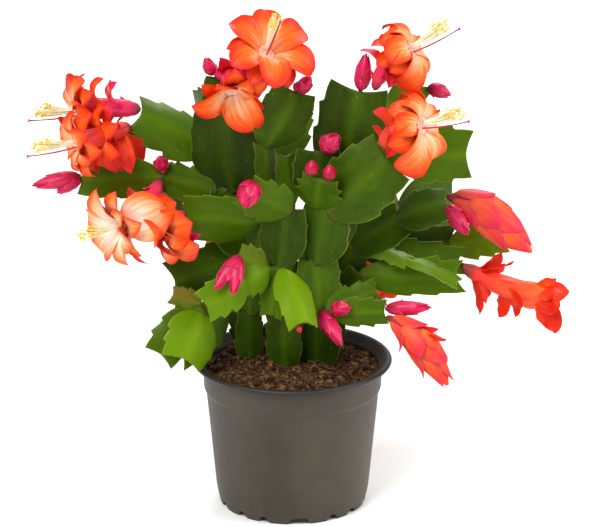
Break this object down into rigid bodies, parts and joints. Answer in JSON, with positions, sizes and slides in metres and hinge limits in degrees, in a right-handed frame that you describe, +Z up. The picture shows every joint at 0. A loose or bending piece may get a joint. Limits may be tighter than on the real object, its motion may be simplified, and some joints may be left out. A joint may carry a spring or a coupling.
{
  "type": "potted christmas cactus",
  "caption": "Flowering christmas cactus with flat toothed stem segments, orange blooms and magenta buds, standing in a round plastic nursery pot of peat.",
  "frame": {"origin": "centre of the pot's underside, on the surface it stands on", "axes": "+Z up along the pot's axis, -Y towards the viewer of the picture, +X to the right in it"},
  "size_m": [0.3184, 0.2261, 0.314],
  "materials": {
    "pot": "thin moulded polypropylene, grey-brown, dull with a darker rolled lip",
    "peat": "damp fibrous peat",
    "leaf": "waxy succulent green, lighter where thin and young",
    "petal": "translucent orange-salmon petal, white towards the throat, red at the margins",
    "stamen": "white filaments with pale yellow anthers",
    "style": "glossy magenta style and stigma",
    "bud": "smooth magenta-pink bud scales"
  },
  "bodies": {
    "root": {"pot": "pot", "soil": "peat", "stem_l": "leaf", "stem_m": "leaf", "stem_t": "leaf", "stem_r": "leaf", "stem_w": "leaf", "stem_p": "leaf", "stem_q": "leaf", "bloom_1": "petal", "stamens_1": "stamen", "style_1": "style", "bloom_2": "petal", "bloom_3": "petal", "stamens_3": "stamen", "style_3": "style", "bloom_4": "petal", "stamens_4": "stamen", "style_4": "style", "bloom_5": "petal", "stamens_5": "stamen", "bloom_6": "petal", "bloom_7": "petal", "stamens_7": "stamen", "style_7": "style", "bloom_8": "petal", "stamens_8": "stamen", "style_8": "style", "bloom_9": "petal", "bloom_10": "petal", "bloom_11": "petal", "bloom_12": "petal", "stamens_12": "stamen", "style_12": "style", "bloom_13": "petal", "stamens_13": "stamen", "style_13": "style", "bud_1": "bud", "bud_2": "bud", "bud_3": "bud", "bud_4": "bud", "bud_5": "bud", "bud_6": "bud", "bud_7": "bud", "bud_8": "bud", "bud_9": "bud", "bud_10": "bud", "bud_11": "bud", "bud_12": "bud", "bud_13": "bud", "bud_14": "bud", "bud_15": "bud", "bud_16": "bud", "bud_17": "bud", "bud_18": "bud", "bud_19": "bud"}
  },
  "joints": []
}
